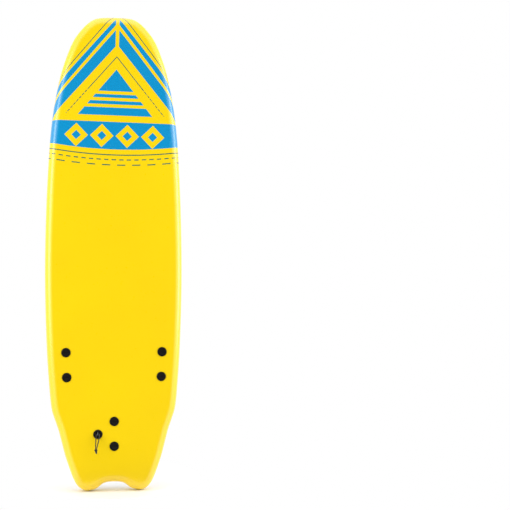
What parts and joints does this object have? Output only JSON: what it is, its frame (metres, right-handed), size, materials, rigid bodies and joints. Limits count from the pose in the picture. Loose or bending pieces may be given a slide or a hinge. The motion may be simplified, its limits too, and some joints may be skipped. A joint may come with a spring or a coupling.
{
  "type": "surfboard",
  "caption": "Soft-top surfboard with rounded nose, notched fish tail, slick bottom, bolted thruster fins and a leash plug with a string loop.",
  "frame": {"origin": "middle of the board across and through its depth, level with the two tail tips that it stands on", "axes": "+Z from the tail to the nose, -Y out of the deck, +Y out of the slick bottom and along the fins, +X to the right of the deck seen from the front"},
  "size_m": [0.5334, 0.2142, 1.829],
  "materials": {
    "deck_foam": "satin",
    "slick": "satin",
    "core_foam": "matte",
    "plywood": "matte",
    "fin": "satin",
    "nylon": "satin",
    "rubber": "matte",
    "steel": "satin",
    "cord": "matte",
    "sticker": "satin"
  },
  "bodies": {
    "board": {"deck_skin": "deck_foam", "bottom_skin": "slick", "foam_core_left": "core_foam", "foam_core_centre": "core_foam", "foam_core_right": "core_foam", "stringer_left": "plywood", "stringer_right": "plywood", "bolt_sleeve_left_front": "nylon", "bolt_sleeve_left_rear": "nylon", "bolt_sleeve_right_front": "nylon", "bolt_sleeve_right_rear": "nylon", "bolt_sleeve_centre_front": "nylon", "bolt_sleeve_centre_rear": "nylon", "leash_plug_cup": "nylon", "leash_plug_bar": "steel", "leash_plug_base": "nylon", "leash_string_left": "cord", "leash_string_right": "cord", "leash_string_knot": "cord", "bottom_label": "sticker"},
    "washer_left_front": {"bolt_washer_left_front": "rubber"},
    "bolt_left_front": {"fin_bolt_left_front": "nylon"},
    "washer_left_rear": {"bolt_washer_left_rear": "rubber"},
    "bolt_left_rear": {"fin_bolt_left_rear": "nylon"},
    "washer_right_front": {"bolt_washer_right_front": "rubber"},
    "bolt_right_front": {"fin_bolt_right_front": "nylon"},
    "washer_right_rear": {"bolt_washer_right_rear": "rubber"},
    "bolt_right_rear": {"fin_bolt_right_rear": "nylon"},
    "washer_centre_front": {"bolt_washer_centre_front": "rubber"},
    "bolt_centre_front": {"fin_bolt_centre_front": "nylon"},
    "washer_centre_rear": {"bolt_washer_centre_rear": "rubber"},
    "bolt_centre_rear": {"fin_bolt_centre_rear": "nylon"},
    "fin_left": {"fin_left": "fin"},
    "fin_right": {"fin_right": "fin"},
    "fin_centre": {"fin_centre": "fin"}
  },
  "joints": [
    {"name": "bolt_rise_left_front", "type": "slide", "parent": "board", "child": "washer_left_front", "axis": [0, -1, 0], "range_m": [0, 0.02]},
    {"name": "bolt_turn_left_front", "type": "hinge", "parent": "washer_left_front", "child": "bolt_left_front", "pos_m": [-0.18601, -0.052, 0.54198], "axis": [0, -1, 0], "range_deg": [0, 2880]},
    {"name": "bolt_rise_left_rear", "type": "slide", "parent": "board", "child": "washer_left_rear", "axis": [0, -1, 0], "range_m": [0, 0.02]},
    {"name": "bolt_turn_left_rear", "type": "hinge", "parent": "washer_left_rear", "child": "bolt_left_rear", "pos_m": [-0.18299, -0.052, 0.44602], "axis": [0, -1, 0], "range_deg": [0, 2880]},
    {"name": "bolt_rise_right_front", "type": "slide", "parent": "board", "child": "washer_right_front", "axis": [0, -1, 0], "range_m": [0, 0.02]},
    {"name": "bolt_turn_right_front", "type": "hinge", "parent": "washer_right_front", "child": "bolt_right_front", "pos_m": [0.18601, -0.052, 0.54198], "axis": [0, -1, 0], "range_deg": [0, 2880]},
    {"name": "bolt_rise_right_rear", "type": "slide", "parent": "board", "child": "washer_right_rear", "axis": [0, -1, 0], "range_m": [0, 0.02]},
    {"name": "bolt_turn_right_rear", "type": "hinge", "parent": "washer_right_rear", "child": "bolt_right_rear", "pos_m": [0.18299, -0.052, 0.44602], "axis": [0, -1, 0], "range_deg": [0, 2880]},
    {"name": "bolt_rise_centre_front", "type": "slide", "parent": "board", "child": "washer_centre_front", "axis": [0, -1, 0], "range_m": [0, 0.02]},
    {"name": "bolt_turn_centre_front", "type": "hinge", "parent": "washer_centre_front", "child": "bolt_centre_front", "pos_m": [0, -0.052, 0.274], "axis": [0, -1, 0], "range_deg": [0, 2880]},
    {"name": "bolt_rise_centre_rear", "type": "slide", "parent": "board", "child": "washer_centre_rear", "axis": [0, -1, 0], "range_m": [0, 0.02]},
    {"name": "bolt_turn_centre_rear", "type": "hinge", "parent": "washer_centre_rear", "child": "bolt_centre_rear", "pos_m": [0, -0.052, 0.178], "axis": [0, -1, 0], "range_deg": [0, 2880]},
    {"name": "fin_pull_left", "type": "slide", "parent": "board", "child": "fin_left", "axis": [0, 1, 0], "range_m": [0, 0.045]},
    {"name": "fin_pull_right", "type": "slide", "parent": "board", "child": "fin_right", "axis": [0, 1, 0], "range_m": [0, 0.045]},
    {"name": "fin_pull_centre", "type": "slide", "parent": "board", "child": "fin_centre", "axis": [0, 1, 0], "range_m": [0, 0.045]}
  ],
  "couplings": [
    {"joint": "bolt_turn_left_front", "follows": "bolt_rise_left_front", "rad_per_m": 2513.3},
    {"joint": "bolt_turn_left_rear", "follows": "bolt_rise_left_rear", "rad_per_m": 2513.3},
    {"joint": "bolt_turn_right_front", "follows": "bolt_rise_right_front", "rad_per_m": 2513.3},
    {"joint": "bolt_turn_right_rear", "follows": "bolt_rise_right_rear", "rad_per_m": 2513.3},
    {"joint": "bolt_turn_centre_front", "follows": "bolt_rise_centre_front", "rad_per_m": 2513.3},
    {"joint": "bolt_turn_centre_rear", "follows": "bolt_rise_centre_rear", "rad_per_m": 2513.3}
  ]
}
